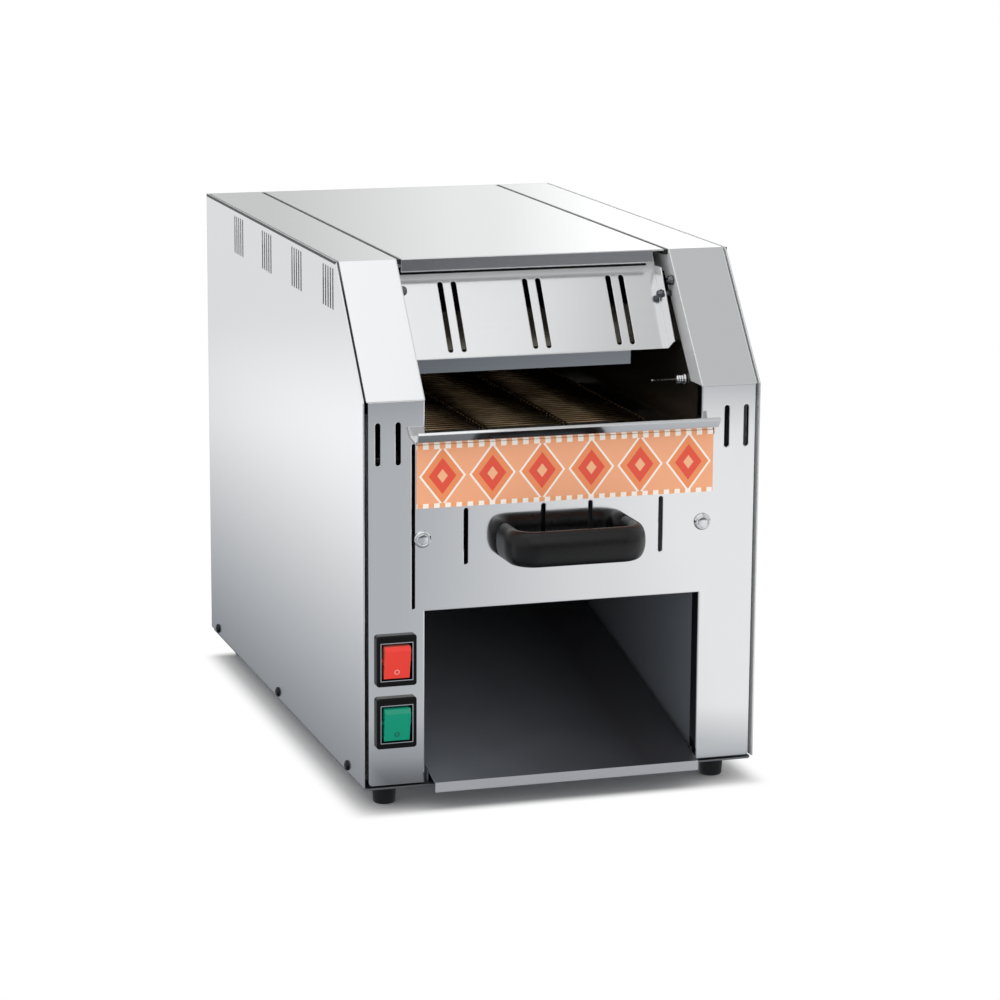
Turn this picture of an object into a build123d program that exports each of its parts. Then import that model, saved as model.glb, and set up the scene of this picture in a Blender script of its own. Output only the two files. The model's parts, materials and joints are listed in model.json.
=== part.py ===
from build123d import *
from math import atan2, cos, pi, radians, sin
import os

os.makedirs("parts", exist_ok=True)

# Conveyor toaster. X is across, Y runs from the front (feeding side) to the back, Z is up.
# The origin is the middle of the footprint, on the table. Sizes are in millimetres.

# Driving sizes
width = 290.0  # over the two side panels
depth = 476.0  # front plate to back panel
height = 378.0  # table to roof
foot_height = 17.0
handle_reach = 39.0  # handle in front of the front plate
gland_reach = 12.0  # cable gland behind the back panel
sheet = 1.2  # casing sheet
thin = 1.0  # inner sheet

# Places along Y
front = -(handle_reach + depth + gland_reach) / 2 + handle_reach
back = front + depth

# Casing
base_top = foot_height + sheet
casing_bottom = base_top + 1.8
slope_bottom = height - 87.0  # where the front plate meets the sloped roof
slope_run = 72.0
slope = (height - slope_bottom) / slope_run
slope_sine = slope / (1 + slope**2) ** 0.5
flange = 12.0
side_skin = width / 2 - thin
strip_side = side_skin - 1.6
plate_half = side_skin - 2.8
strip_edge = 100.9  # inner edge of the roof strips and of the front openings
wall_face = strip_edge + sheet  # inner face of the tunnel walls
wall_out = wall_face + thin
wall_front = front + 14.0

# Front plate
outlet_top = 143.0
lip_fold = 261.0
shelf_reach = 11.2  # flat part of the feeding lip
shelf_rise = 2.6
lip_reach = 15.0  # to the top of its turned-up rim
lip_rise = 8.4
rim_thick = 2.4  # rim folded double
lip_root_half = 107.5
lip_end_half = 110.0
slit_x = 109.2
slit_width = 2.6
vent_width = 3.8

# Belt, its wheels and shafts
wire = 1.6
teeth = 16
turn_radius = 19.2  # wire centres round the wheels
belt_pitch = 2 * pi * turn_radius / teeth
straight_pitches = 40
belt_half = 91.5
lane_rows = [-belt_half, -30.5, 30.5, belt_half]
link_width = 3.0
link_depth = 0.8
axle_z = 232.0
axle_front = front + 95.0
axle_back = axle_front + straight_pitches * belt_pitch
wheel_radius = turn_radius - wire / 2 - 0.4
wheel_width = 6.0
drive_rows = [-84.0, -24.0, 24.0, 84.0]
idler_rows = [-84.0, 84.0]
shaft_radius = 5.0
running_gap = 0.05

# Heating
tube_radius = 5.0
upper_tube_z = 318.0
lower_tube_z = axle_z + 3.0
upper_tube_ys = [front + 135.0, front + 245.0, front + 355.0]
lower_tube_ys = [front + 185.0, front + 305.0]

# Hood over the feeding mouth
hood_left = -99.4
hood_right = 94.5
hood_fold_y = front + 48.1
hood_fold_z = 310.3
hood_run_per_rise = 0.625
hood_drop = 9.8  # turned-down front edge of the hood
hood_drop_end = 65.0  # it stops short of the probe
hood_flange = 12.0
hood_flange_left = 8.0  # clear of the strip's screw

# Return chute
chute_half = 97.5
chute_fall = 0.2296
chute_start_z = 26.7  # floor height in the plane of the front plate
chute_back = front + 425.0
chute_lip_reach = 15.0

# Switches in the left column
switch_x = -122.1
switch_zs = {"red": 109.7, "green": 65.2}
bezel_width = 28.8
bezel_height = 36.2
bezel_proud = 4.0
recess_width = 22.4
rocker_width = 18.4
rocker_height = 25.0
pin_radius = 1.5  # rocker's trunnions
pin_length = 2.9

# Drive
chain_x = wall_out + 6.0
chain_width = 3.0
sprocket_radius = 14.0
sprocket_teeth = 12
motor_y = axle_back - 66.0
motor_z = 130.0


def polygon(*points):
    # a closed flat shape from its corners, left where the corners are
    return Polygon(*points, align=None)


def under_roof(drop, end_y=back - sheet, low=slope_bottom):
    # corners of the roof line, moved inwards by drop, down to the height low
    y_low = front + drop / slope_sine + (low - slope_bottom) / slope
    y_bend = front + drop / slope_sine + (height - drop - slope_bottom) / slope
    return [(y_low, low), (y_bend, height - drop), (end_y, height - drop)]


def save(part, name):
    part.label = name
    export_step(part, f"parts/{name}.step")


def save_pair(part, name):
    # the right-hand part as drawn, and its mirror image for the left
    save(part, f"{name}_right")
    save(mirror(part, about=Plane.YZ), f"{name}_left")


# Side panels: flat sheet with four groups of cooling slots and a sloped front corner
louvre_starts = [77.0, 167.0, 258.0, 349.0]
louvre_slots = 5
louvre_pitch = 6.6
louvre_height = 28.8
louvre_z = 357.8
with BuildPart() as side_panel:
    with BuildSketch(Plane.YZ.offset(side_skin)):
        polygon(
            (front, casing_bottom - 1),
            (front, slope_bottom),
            (front + slope_run, height),
            (back, height),
            (back, casing_bottom - 1),
        )
    extrude(amount=thin)
    with BuildSketch(Plane.YZ.offset(side_skin)):
        for start in louvre_starts:
            for slot in range(louvre_slots):
                with Locations((front + start + 1.5 + slot * louvre_pitch, louvre_z)):
                    Rectangle(3.0, louvre_height)
    extrude(amount=thin, mode=Mode.SUBTRACT)
save_pair(side_panel.part, "side_panel")

# Roof strips: a channel bent over the slope and the top, open below
strip_flange = 17.0
with BuildPart() as roof_strip:
    with BuildSketch(Plane.YZ.offset(strip_edge)):
        polygon(*under_roof(0), *reversed(under_roof(strip_flange)))
    extrude(amount=strip_side - strip_edge)
    with BuildSketch(Plane.YZ.offset(strip_edge + sheet)):
        polygon(*under_roof(sheet), *reversed(under_roof(strip_flange + 5)))
    extrude(amount=strip_side - strip_edge - 2 * sheet, mode=Mode.SUBTRACT)
save_pair(roof_strip.part, "roof_strip")

# Feeding lip: a shallow shelf bent out of the front plate, with a turned-up hemmed rim
with BuildPart() as feeding_lip:
    with BuildSketch(Plane.YZ.offset(-lip_end_half)):
        polygon(
            (front + sheet, lip_fold - sheet),
            (front, lip_fold - sheet),
            (front - shelf_reach, lip_fold + shelf_rise),
            (front - lip_reach, lip_fold + lip_rise),
            (front - lip_reach + rim_thick * 0.84, lip_fold + lip_rise + rim_thick * 0.54),
            (front - shelf_reach + rim_thick, lip_fold + shelf_rise + 0.9),
            (front + sheet, lip_fold),
        )
    extrude(amount=2 * lip_end_half)
    with BuildSketch(Plane.XY.offset(lip_fold - sheet)):
        polygon(
            (-lip_root_half, front + sheet),
            (lip_root_half, front + sheet),
            (lip_end_half, front - lip_reach),
            (-lip_end_half, front - lip_reach),
        )
    extrude(amount=lip_rise + 5, mode=Mode.INTERSECT)

# Front plate: two columns, a middle panel with a feeding lip, and the toast outlet below
plate_middle = (casing_bottom + slope_bottom) / 2
with BuildPart() as front_plate:
    with BuildSketch(Plane.XZ.offset(-front)):
        with Locations((0, plate_middle)):
            RectangleRounded(2 * plate_half, slope_bottom - casing_bottom, 2.5)
        with Locations((0, slope_bottom - 5)):
            Rectangle(2 * plate_half, 10)
        with Locations((0, slope_bottom)):
            Rectangle(2 * strip_edge, 2 * (slope_bottom - lip_fold), mode=Mode.SUBTRACT)
        with Locations((0, casing_bottom)):
            Rectangle(2 * strip_edge, 2 * (outlet_top - casing_bottom), mode=Mode.SUBTRACT)
    extrude(amount=-sheet)
    # flanges turned back at the outer edges and round both openings
    with BuildSketch(Plane.XY.offset(casing_bottom + 3)):
        for x in (-1, 1):
            with Locations((x * (plate_half - sheet / 2), front + flange / 2)):
                Rectangle(sheet, flange)
    extrude(amount=slope_bottom - casing_bottom - 12)
    with BuildSketch(Plane.XY.offset(casing_bottom)):
        for x in (-1, 1):
            with Locations((x * (strip_edge + sheet / 2), front + flange / 2)):
                Rectangle(sheet, flange)
    extrude(amount=outlet_top - casing_bottom)
    with BuildSketch(Plane.XY.offset(outlet_top)):
        with Locations((0, front + flange / 2)):
            Rectangle(2 * wall_face, flange)
    extrude(amount=sheet)
    rims = front_plate.edges().filter_by(Axis.Z)
    rims = rims.filter_by_position(Axis.Y, front - 0.01, front + 0.01)
    rims = [edge for edge in rims if abs(abs(edge.center().X) - strip_edge) < 0.01]
    fillet(rims, sheet * 0.8)
    add(feeding_lip.part)
    # cooling slots, the slit beside the middle panel and the lip's relief at the other end
    with BuildSketch(Plane.XZ.offset(-front)):
        for x in (-134.5, -120.0, 120.0, 134.5):
            with Locations((x, slope_bottom - 29.4)):
                SlotOverall(30.0, vent_width, rotation=90)
        for x in (-71.4, -15.2, 19.2, 71.4):
            with Locations((x, 194.1)):
                SlotOverall(40.0, 3.2, rotation=90)
        with Locations((-slit_x, (lip_fold + 144.5) / 2)):
            SlotOverall(lip_fold - 144.5, slit_width, rotation=90)
        with Locations((slit_x, lip_fold - 2)):
            SlotOverall(6, slit_width, rotation=90)
        for z in switch_zs.values():
            with Locations((switch_x, z)):
                Rectangle(bezel_width - 3.4, bezel_height - 3.4)
    extrude(amount=-sheet, mode=Mode.SUBTRACT)
save(front_plate.part, "front_plate")

# Bare label band under the feeding lip
label_left = -107.0
label_right = 110.0
with BuildPart() as label_band:
    with BuildSketch(Plane.XZ.offset(-front)):
        with Locations(((label_left + label_right) / 2, 237.6)):
            Rectangle(label_right - label_left, 44.2)
    extrude(amount=0.3)
save(label_band.part, "label_band")

# Base plate on the feet
with BuildPart() as base_plate:
    with BuildSketch(Plane.XY.offset(foot_height)):
        with Locations((0, (front + back) / 2)):
            RectangleRounded(2 * side_skin, depth, 4)
    extrude(amount=sheet)
save(base_plate.part, "base_plate")

# Angles along the base that carry the side panels
with BuildPart() as base_angle:
    with BuildSketch(Plane.XZ.offset(-front - 30)):
        polygon(
            (side_skin - 14, base_top),
            (side_skin, base_top),
            (side_skin, base_top + 18),
            (side_skin - sheet, base_top + 18),
            (side_skin - sheet, base_top + sheet),
            (side_skin - 14, base_top + sheet),
        )
    extrude(amount=-(depth - 60))
save_pair(base_angle.part, "base_angle")

# Back panel with slots and the hole for the cable gland
gland_x = -120.0
gland_z = 52.0
with BuildPart() as back_panel:
    with BuildSketch(Plane.XZ.offset(-back)):
        with Locations((0, (casing_bottom + height) / 2)):
            Rectangle(2 * side_skin, height - casing_bottom)
        with Locations((0, 240.0)):
            with GridLocations(18, 60, 9, 2):
                Rectangle(4, 36, mode=Mode.SUBTRACT)
        with Locations((gland_x, gland_z)):
            Circle(8.2, mode=Mode.SUBTRACT)
    extrude(amount=sheet)
    with BuildSketch(Plane.XY.offset(base_top)):
        with Locations((0, back - sheet - 6)):
            Rectangle(190, flange)
    extrude(amount=sheet)
    with BuildSketch(Plane.XZ.offset(-back)):
        with Locations((0, (base_top + casing_bottom) / 2 + 0.5)):
            Rectangle(190, casing_bottom - base_top + 1)
    extrude(amount=sheet)
save(back_panel.part, "back_panel")

# Cable gland: a nylon bush with a hexagonal nut, no cord
with BuildPart() as cable_gland:
    with BuildSketch(Plane.XZ.offset(-back)):
        with Locations((gland_x, gland_z)):
            RegularPolygon(12.5, 6)
    extrude(amount=-4)
    with BuildSketch(Plane.XZ.offset(-back)):
        with Locations((gland_x, gland_z)):
            Circle(8)
    extrude(amount=-gland_reach)
    with BuildSketch(Plane.XZ.offset(-back)):
        with Locations((gland_x, gland_z)):
            Circle(8)
    extrude(amount=14)
    with BuildSketch(Plane.XZ.offset(-back - gland_reach)):
        with Locations((gland_x, gland_z)):
            Circle(4.5)
    extrude(amount=40, mode=Mode.SUBTRACT)
save(cable_gland.part, "cable_gland")

# Tunnel walls, standing on the base and reaching up under the roof strips
with BuildPart() as tunnel_wall:
    with BuildSketch(Plane.YZ.offset(wall_face)):
        low, bend, end = under_roof(sheet)
        front_top = slope_bottom + (wall_front - low[0]) * slope
        polygon(
            (wall_front, base_top),
            (wall_front, front_top),
            bend,
            end,
            (back - sheet, base_top),
        )
        with Locations((axle_front, axle_z), (axle_back, axle_z)):
            Rectangle(16, 16, mode=Mode.SUBTRACT)
        for y in upper_tube_ys:
            with Locations((y, upper_tube_z)):
                Rectangle(12, 12, mode=Mode.SUBTRACT)
        for y in lower_tube_ys:
            with Locations((y, lower_tube_z)):
                Rectangle(12, 12, mode=Mode.SUBTRACT)
    extrude(amount=thin)
save_pair(tunnel_wall.part, "tunnel_wall")

# Top cover: flat lid with turned-down edges, notched at its corners
cover_half = 97.4
cover_front_right = 89.0
notch_front = front + 126.0
notch_back = front + 416.0
with BuildPart() as top_cover:
    with BuildSketch(Plane.XY.offset(height - sheet)):
        with Locations((0, (front + slope_run + back - sheet) / 2)):
            Rectangle(2 * cover_half, depth - slope_run - sheet)
    extrude(amount=sheet)
    with BuildSketch(Plane.XY.offset(height)):
        for x in (-1, 1):
            with Locations((x * (cover_half - thin / 2), (notch_front + notch_back) / 2)):
                Rectangle(thin, notch_back - notch_front)
    extrude(amount=-14)
    with BuildSketch(Plane.XY.offset(height)):
        with Locations(((cover_front_right - cover_half) / 2, front + slope_run + sheet / 2)):
            Rectangle(cover_half + cover_front_right, sheet)
    extrude(amount=-9.5)
    with BuildSketch(Plane.XY.offset(height)):
        with Locations((0, back - sheet - thin / 2)):
            Rectangle(2 * cover_half, thin)
    extrude(amount=-flange)
save(top_cover.part, "top_cover")

# Hood: slotted plate leaning back over the mouth, with turned edges
hood_top_z = height - sheet
hood_top_y = hood_fold_y + (hood_top_z - hood_fold_z) * hood_run_per_rise
hood_sine = 1 / (1 + hood_run_per_rise**2) ** 0.5
hood_skin = sheet / hood_sine  # sheet measured along Y
flange_top_z = height - 12.5
with BuildPart() as hood_plate:
    with BuildSketch(Plane.YZ.offset(hood_left)):
        polygon(
            (hood_fold_y, hood_fold_z),
            (hood_top_y, hood_top_z),
            (hood_top_y + 16, hood_top_z),
            (hood_top_y + 16, hood_top_z - sheet),
            (hood_top_y + hood_skin, hood_top_z - sheet),
            (hood_fold_y + hood_skin, hood_fold_z),
        )
    extrude(amount=hood_right - hood_left)
    with BuildSketch(Plane.YZ.offset(hood_left)):
        with Locations((hood_fold_y + sheet / 2, hood_fold_z - hood_drop / 2 + 0.2)):
            Rectangle(sheet, hood_drop + 0.4)
    extrude(amount=hood_drop_end - hood_left)
    # side flanges turned towards the mouth, ending just under the cover's front edge
    flange_top_y = hood_top_y - (hood_top_z - flange_top_z) * hood_run_per_rise
    for side, reach in ((hood_left, hood_flange_left), (hood_right - thin, hood_flange)):
        step = reach * hood_sine
        with BuildSketch(Plane.YZ.offset(side)):
            polygon(
                (hood_fold_y + 0.4, hood_fold_z),
                (flange_top_y + 0.4, flange_top_z),
                (flange_top_y - reach / hood_sine, flange_top_z),
                (hood_fold_y - step, hood_fold_z + step * hood_run_per_rise),
            )
        extrude(amount=thin)
    # three pairs of slots
    slot_plane = Plane(
        origin=(0, hood_fold_y, hood_fold_z),
        x_dir=(1, 0, 0),
        z_dir=(0, -1, hood_run_per_rise),
    )
    with BuildSketch(slot_plane):
        for x in (-62.4, 0.0, 62.4):
            for side in (-4.9, 4.9):
                with Locations((x + side, 31.5)):
                    SlotOverall(54.0, vent_width, rotation=90)
    extrude(amount=-3, mode=Mode.SUBTRACT)
save(hood_plate.part, "hood_plate")

# Bolts that hang the hood between the roof strips: a spacer outside each flange of the
# hood, a nut and the thread's end inside it
bolt_y = front + 65.5
bolt_z = 347.0
hood_bolt_set = []
for outside, inwards, nut_length, thread_length in ((hood_left, 1, 2.4, 3.2), (hood_right, -1, 4.5, 8.0)):
    with BuildPart() as spacer:
        with BuildSketch(Plane.YZ.offset(outside)):
            with Locations((bolt_y, bolt_z)):
                Circle(3.4)
        extrude(amount=-inwards * (strip_edge - abs(outside)))
    with BuildPart() as nut:
        with BuildSketch(Plane.YZ.offset(outside + inwards * thin)):
            with Locations((bolt_y, bolt_z)):
                RegularPolygon(3.9, 6)
        extrude(amount=inwards * nut_length)
        with BuildSketch(Plane.YZ.offset(outside + inwards * thin)):
            with Locations((bolt_y, bolt_z)):
                Circle(2.4)
        extrude(amount=inwards * thread_length)
    hood_bolt_set += [spacer.part, nut.part]
save(Compound(children=hood_bolt_set), "hood_bolts")

# Screws in the inner flanges of the roof strips
with BuildPart() as strip_screw:
    with BuildSketch(Plane.YZ.offset(strip_edge)):
        with Locations((front + 62.0, 357.0)):
            Circle(3.6)
    extrude(amount=-4.4)
strip_screws = Compound(children=[strip_screw.part, mirror(strip_screw.part, about=Plane.YZ)])
save(strip_screws, "strip_screws")

# Upper reflector over the tubes, hung from the walls
reflector_front = front + 100.0
reflector_back = front + 432.0
reflector_z = 335.0
with BuildPart() as upper_reflector:
    with BuildSketch(Plane.YZ.offset(-wall_face)):
        polygon(
            (reflector_front, 307.0),
            (reflector_front, reflector_z),
            (reflector_back, reflector_z),
            (reflector_back, 307.0),
            (reflector_back - thin, 307.0),
            (reflector_back - thin, reflector_z - thin),
            (reflector_front + thin, reflector_z - thin),
            (reflector_front + thin, 307.0),
        )
    extrude(amount=2 * wall_face)
save(upper_reflector.part, "upper_reflector")

# Lower reflector inside the belt's loop
with BuildPart() as lower_reflector:
    with BuildSketch(Plane.XY.offset(axle_z - 11)):
        with Locations((0, front + 245)):
            Rectangle(2 * wall_face, 240)
    extrude(amount=thin)
    with BuildSketch(Plane.XY.offset(axle_z - 11)):
        for x in (-1, 1):
            with Locations((x * (wall_face - thin / 2), front + 245)):
                Rectangle(thin, 240)
    extrude(amount=6)
save(lower_reflector.part, "lower_reflector")

# Back deflector that turns the toast down on to the chute
with BuildPart() as back_deflector:
    with BuildSketch(Plane.YZ.offset(-wall_face)):
        polygon(
            (reflector_back, reflector_z),
            (front + 456, 315),
            (front + 456, 165),
            (front + 436, 128),
            (front + 435, 128.6),
            (front + 455, 165.4),
            (front + 455, 314.5),
            (reflector_back, reflector_z - thin - 0.4),
        )
    extrude(amount=2 * wall_face)
save(back_deflector.part, "back_deflector")

# Quartz heating tubes and their ceramic end holders
for name, tube_ys, tube_z in (
    ("upper_tubes", upper_tube_ys, upper_tube_z),
    ("lower_tubes", lower_tube_ys, lower_tube_z),
):
    with BuildPart() as tubes:
        with BuildSketch(Plane.YZ.offset(-wall_out)):
            for y in tube_ys:
                with Locations((y, tube_z)):
                    Circle(tube_radius)
        extrude(amount=2 * wall_out)
    save(tubes.part, name)

with BuildPart() as tube_holders_side:
    with BuildSketch(Plane.YZ.offset(wall_out)):
        for y in upper_tube_ys:
            with Locations((y, upper_tube_z)):
                Rectangle(17, 17)
        for y in lower_tube_ys:
            with Locations((y, lower_tube_z)):
                Rectangle(17, 17)
    extrude(amount=14)
tube_holders = Compound(
    children=[tube_holders_side.part, mirror(tube_holders_side.part, about=Plane.YZ)]
)
save(tube_holders, "tube_holders")

# Wire belt: cross wires on four rows of links, round two axles
def belt_line(radius):
    # corners of the belt's path where the cross wires bend round the axles
    corners = []
    for axle_y, start in ((axle_front, 90), (axle_back, -90)):
        for step in range(teeth // 2 + 1):
            angle = radians(start + step * 360 / teeth)
            corners.append((axle_y + radius * cos(angle), axle_z + radius * sin(angle)))
    return corners


link_radius = turn_radius - wire / 2
with BuildPart() as cross_wires:
    with BuildSketch(Plane.YZ.offset(-belt_half - link_width / 2)):
        for y, z in belt_line(turn_radius):
            lean = atan2(z - axle_z, y - min(max(y, axle_front), axle_back)) * 180 / pi
            with Locations(Location((y, z), lean)):
                Rectangle(wire, wire)
        for step in range(1, straight_pitches):
            for side in (-1, 1):
                with Locations((axle_front + step * belt_pitch, axle_z + side * turn_radius)):
                    Rectangle(wire, wire)
    extrude(amount=2 * belt_half + link_width)
save(cross_wires.part, "belt_wires")

with BuildPart() as link_rows:
    for row in lane_rows:
        with BuildSketch(Plane.YZ.offset(row - link_width / 2)):
            Polygon(*belt_line(link_radius), align=None)
            Polygon(*belt_line(link_radius - link_depth), align=None, mode=Mode.SUBTRACT)
        extrude(amount=link_width)
save(link_rows.part, "belt_links")


def toothed_wheel(radius, count, depth_of_tooth):
    # outline of a small wheel with flat-topped teeth and a notch after each
    corners = []
    for tooth in range(count):
        for share, reach in ((-0.22, 1), (0.22, 1), (0.5, 0)):
            angle = 2 * pi * (tooth + share) / count
            r = radius - depth_of_tooth * (1 - reach)
            corners.append((r * cos(angle), r * sin(angle)))
    return corners


# Axles with their belt wheels, turning in bushes in the walls
for name, axle_y, right, rows in (
    ("drive", axle_back, chain_x + 8, drive_rows),
    ("idler", axle_front, wall_out + 9, idler_rows),
):
    with BuildPart() as shaft:
        with BuildSketch(Plane.YZ.offset(-wall_out - 9)):
            with Locations((axle_y, axle_z)):
                Circle(shaft_radius)
        extrude(amount=wall_out + 9 + right)
    save(shaft.part, f"{name}_shaft")
    with BuildPart() as wheels:
        for row in rows:
            with BuildSketch(Plane.YZ.offset(row - wheel_width / 2)):
                with Locations((axle_y, axle_z)):
                    if name == "drive":
                        polygon(*toothed_wheel(wheel_radius, teeth, 2.4))
                    else:
                        Circle(wheel_radius)
                    Circle(shaft_radius + 0.02, mode=Mode.SUBTRACT)
            extrude(amount=wheel_width)
    save(wheels.part, f"{name}_wheels")

# Bearing plates that carry both shafts, against the outsides of the walls
with BuildPart() as bush_pair:
    with BuildSketch(Plane.YZ.offset(wall_out)):
        with Locations((axle_front, axle_z), (axle_back, axle_z)):
            Rectangle(24, 24)
            Circle(shaft_radius + running_gap, mode=Mode.SUBTRACT)
    extrude(amount=3)
bushes = Compound(children=[bush_pair.part, mirror(bush_pair.part, about=Plane.YZ)])
save(bushes, "shaft_bushes")

# Chain drive in the right-hand compartment
with BuildPart() as shaft_sprocket:
    with BuildSketch(Plane.YZ.offset(chain_x - chain_width / 2)):
        with Locations((axle_back, axle_z)):
            polygon(*toothed_wheel(sprocket_radius, sprocket_teeth, 3))
            Circle(shaft_radius + 0.02, mode=Mode.SUBTRACT)
    extrude(amount=chain_width)
save(shaft_sprocket.part, "shaft_sprocket")

motor_face = chain_x + 7.0
with BuildPart() as motor_sprocket:
    with BuildSketch(Plane.YZ.offset(chain_x - chain_width / 2)):
        with Locations((motor_y, motor_z)):
            polygon(*toothed_wheel(sprocket_radius, sprocket_teeth, 3))
    extrude(amount=chain_width)
    with BuildSketch(Plane.YZ.offset(chain_x - chain_width / 2 - 1)):
        with Locations((motor_y, motor_z)):
            Circle(3.5)
    extrude(amount=motor_face - chain_x + chain_width / 2 + 9)
save(motor_sprocket.part, "motor_sprocket")

chain_run = ((axle_back - motor_y) ** 2 + (axle_z - motor_z) ** 2) ** 0.5
chain_angle = atan2(axle_z - motor_z, axle_back - motor_y) * 180 / pi
with BuildPart() as drive_chain:
    with BuildSketch(Plane.YZ.offset(chain_x - chain_width / 2)):
        with Locations(((axle_back + motor_y) / 2, (axle_z + motor_z) / 2)):
            SlotCenterToCenter(chain_run, 2 * sprocket_radius + 6.6, rotation=chain_angle)
            SlotCenterToCenter(
                chain_run, 2 * sprocket_radius + 0.6, rotation=chain_angle, mode=Mode.SUBTRACT
            )
    extrude(amount=chain_width)
save(drive_chain.part, "drive_chain")

with BuildPart() as gear_motor:
    with BuildSketch(Plane.YZ.offset(motor_face)):
        with Locations((motor_y, motor_z)):
            Rectangle(60, 60)
    extrude(amount=12)
    with BuildSketch(Plane.YZ.offset(motor_face + 12)):
        with Locations((motor_y, motor_z)):
            Circle(25)
    extrude(amount=11)
    with BuildSketch(Plane.YZ.offset(motor_face)):
        with Locations((motor_y, motor_z)):
            Circle(3.5 + running_gap)
    extrude(amount=9.5, mode=Mode.SUBTRACT)
save(gear_motor.part, "gear_motor")

# Motor bracket: a plate on two feet turned back to the wall
with BuildPart() as motor_bracket:
    with BuildSketch(Plane.YZ.offset(motor_face - 1.5)):
        with Locations((motor_y, motor_z)):
            Rectangle(64, 64)
            Circle(9, mode=Mode.SUBTRACT)
    extrude(amount=1.5)
    with BuildSketch(Plane.YZ.offset(wall_out)):
        with Locations((motor_y, motor_z - 31.25)):
            Rectangle(44, 1.5)
        with Locations((motor_y - 31.25, motor_z)):
            Rectangle(1.5, 44)
    extrude(amount=motor_face - 1.5 - wall_out)
save(motor_bracket.part, "motor_bracket")

# Return chute: sloped floor on two skirts that stand on the base, with a pull lip
def chute_floor(y):
    return chute_start_z + chute_fall * (y - front)


lip_y = front - chute_lip_reach
with BuildPart() as chute:
    with BuildSketch(Plane.YZ.offset(-chute_half)):
        polygon(
            (lip_y, chute_floor(lip_y)),
            (chute_back, chute_floor(chute_back)),
            (chute_back, chute_floor(chute_back) - thin),
            (lip_y + thin, chute_floor(lip_y + thin) - thin),
            (lip_y + thin, 16.2),
            (lip_y, 16.2),
        )
    extrude(amount=2 * chute_half)
    with BuildSketch(Plane.YZ.offset(chute_half)):
        polygon(
            (front + 6, base_top + 0.3),
            (chute_back, base_top + 0.3),
            (chute_back, chute_floor(chute_back) - thin / 2),
            (front + 6, chute_floor(front + 6) - thin / 2),
        )
    skirt = extrude(amount=-thin)
    mirror(skirt, about=Plane.YZ)
save(chute.part, "chute")

# Rails on the base that keep the chute straight
with BuildPart() as chute_rail:
    with BuildSketch(Plane.XY.offset(base_top)):
        with Locations((chute_half + 1.25, (wall_front + chute_back) / 2)):
            Rectangle(1.5, chute_back - wall_front)
    extrude(amount=7)
chute_rails = Compound(children=[chute_rail.part, mirror(chute_rail.part, about=Plane.YZ)])
save(chute_rails, "chute_rails")

# Rocker switches in the left column
for colour, z in switch_zs.items():
    mid = z - 0.6
    with BuildPart() as switch_frame:
        with BuildSketch(Plane.XZ.offset(-front)):
            with Locations((switch_x, z)):
                RectangleRounded(bezel_width, bezel_height, 2)
        extrude(amount=bezel_proud)
        outer = switch_frame.faces().sort_by(Axis.Y)[0].edges()
        chamfer(outer, 0.8)
        with BuildSketch(Plane.XZ.offset(-front)):
            with Locations((switch_x, z)):
                Rectangle(bezel_width - 3.6, bezel_height - 3.6)
        extrude(amount=-24)
        with BuildSketch(Plane.XZ.offset(-front + bezel_proud)):
            with Locations((switch_x, mid)):
                Rectangle(recess_width, rocker_height + 1.2)
        extrude(amount=-(bezel_proud + 18), mode=Mode.SUBTRACT)
        with BuildSketch(Plane.YZ.offset(switch_x - bezel_width / 2 + 1.4)):
            with Locations((front + 1.0, mid)):
                Circle(pin_radius + running_gap)
        extrude(amount=bezel_width - 2.8, mode=Mode.SUBTRACT)
    save(switch_frame.part, f"{colour}_switch_frame")
    with BuildPart() as rocker:
        with BuildSketch(Plane.YZ.offset(switch_x - rocker_width / 2)):
            polygon(
                (front - 3.4, mid - 11.9),
                (front - 5.0, mid - 4),
                (front - 7.6, mid + 8.2),
                (front - 6.0, mid + 11.2),
                (front + 1.0, mid + 11.6),
                (front + 6.0, mid + 4),
                (front + 6.0, mid - 4),
                (front + 1.0, mid - 11.9),
            )
        extrude(amount=rocker_width)
        with BuildSketch(Plane.YZ.offset(switch_x - rocker_width / 2 - pin_length)):
            with Locations((front + 1.0, mid)):
                Circle(pin_radius)
        extrude(amount=rocker_width + 2 * pin_length)
    save(rocker.part, f"{colour}_rocker")

# Carrying handle: a bow in moulded plastic, round-edged all along
handle_x = 1.5
handle_half = 51.0
handle_z = 189.0
handle_high = 25.0
handle_thick = 13.0
handle_edge = 4.2
with BuildPart() as handle:
    with BuildLine() as bow:
        bow_half = handle_half - handle_thick / 2
        bow_y = front - handle_reach + handle_thick / 2
        FilletPolyline(
            (handle_x - bow_half, front, handle_z),
            (handle_x - bow_half, bow_y, handle_z),
            (handle_x + bow_half, bow_y, handle_z),
            (handle_x + bow_half, front, handle_z),
            radius=14,
        )
    bow_start = Plane(
        origin=(handle_x - bow_half, front, handle_z),
        x_dir=(1, 0, 0),
        z_dir=(0, -1, 0),
    )
    with BuildSketch(bow_start) as bow_section:
        Rectangle(handle_thick, handle_high)
        chamfer(bow_section.vertices(), handle_edge)
    sweep()
save(handle.part, "handle")

# Screws: polished caps on the front plate, button heads along the sides and on the back
with BuildPart() as front_screws:
    for x in (-102.7, 102.7):
        with Locations(Plane.XZ.offset(-front)):
            with Locations((x, 194.0)):
                Cylinder(6.2, 0.8, align=(Align.CENTER, Align.CENTER, Align.MIN))
                with Locations((0, 0, 0.8)):
                    Cone(6.2, 4.2, 1.8, align=(Align.CENTER, Align.CENTER, Align.MIN))
save(front_screws.part, "front_screws")

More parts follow.
